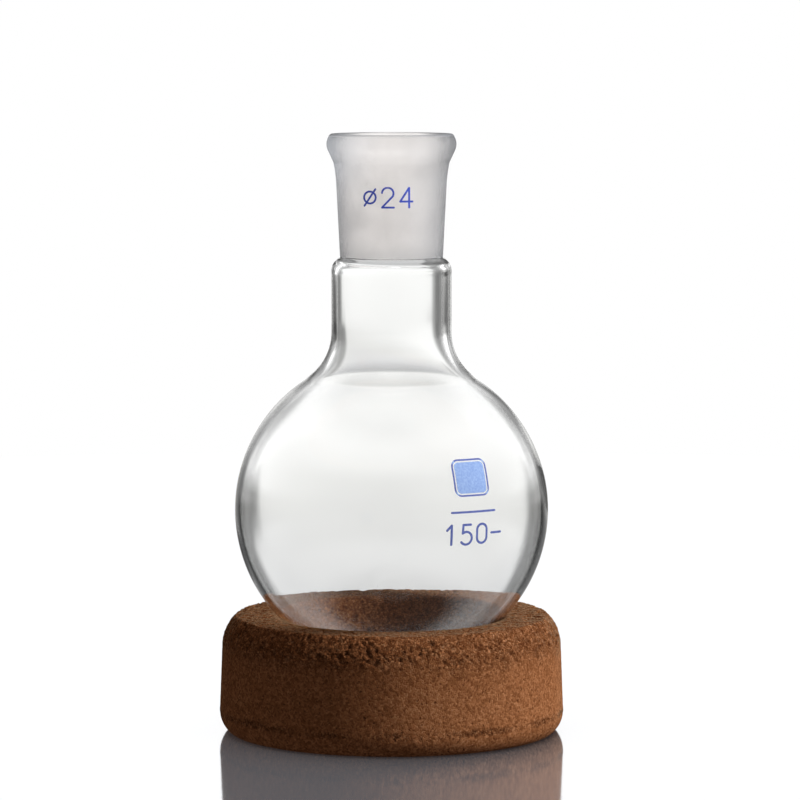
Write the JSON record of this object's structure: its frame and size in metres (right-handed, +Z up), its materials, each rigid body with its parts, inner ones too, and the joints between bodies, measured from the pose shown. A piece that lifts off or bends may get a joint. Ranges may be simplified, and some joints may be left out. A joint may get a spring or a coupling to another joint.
{
  "type": "round bottom flask",
  "caption": "Single-neck round bottom flask of clear glass with a ground tapered socket and rolled bead, resting in a pressed-cork ring stand.",
  "frame": {"origin": "centre of the cork ring's underside, where the object stands", "axes": "+Z up along the neck's axis; -Y is the front, where the socket's size mark is printed"},
  "size_m": [0.0814, 0.0814, 0.141],
  "materials": {
    "cork": "pressed cork granules, sanded side, open pores on the top and at the foot",
    "clear_glass": "clear polished borosilicate glass",
    "ground_glass": "finely ground, matt and translucent",
    "blue_enamel": "fired blue enamel print",
    "pale_blue_enamel": "fired pale blue enamel print, slightly matt"
  },
  "bodies": {
    "stand": {"cork_ring": "cork"},
    "flask": {"bulb_and_neck": "clear_glass", "ground_socket": "ground_glass", "joint_size_mark": "blue_enamel", "marking_spot": "pale_blue_enamel", "capacity_mark": "blue_enamel"}
  },
  "joints": [
    {"name": "flask_lift", "type": "slide", "parent": "stand", "child": "flask", "axis": [0, 0, 1], "range_m": [0, 0.04]}
  ]
}
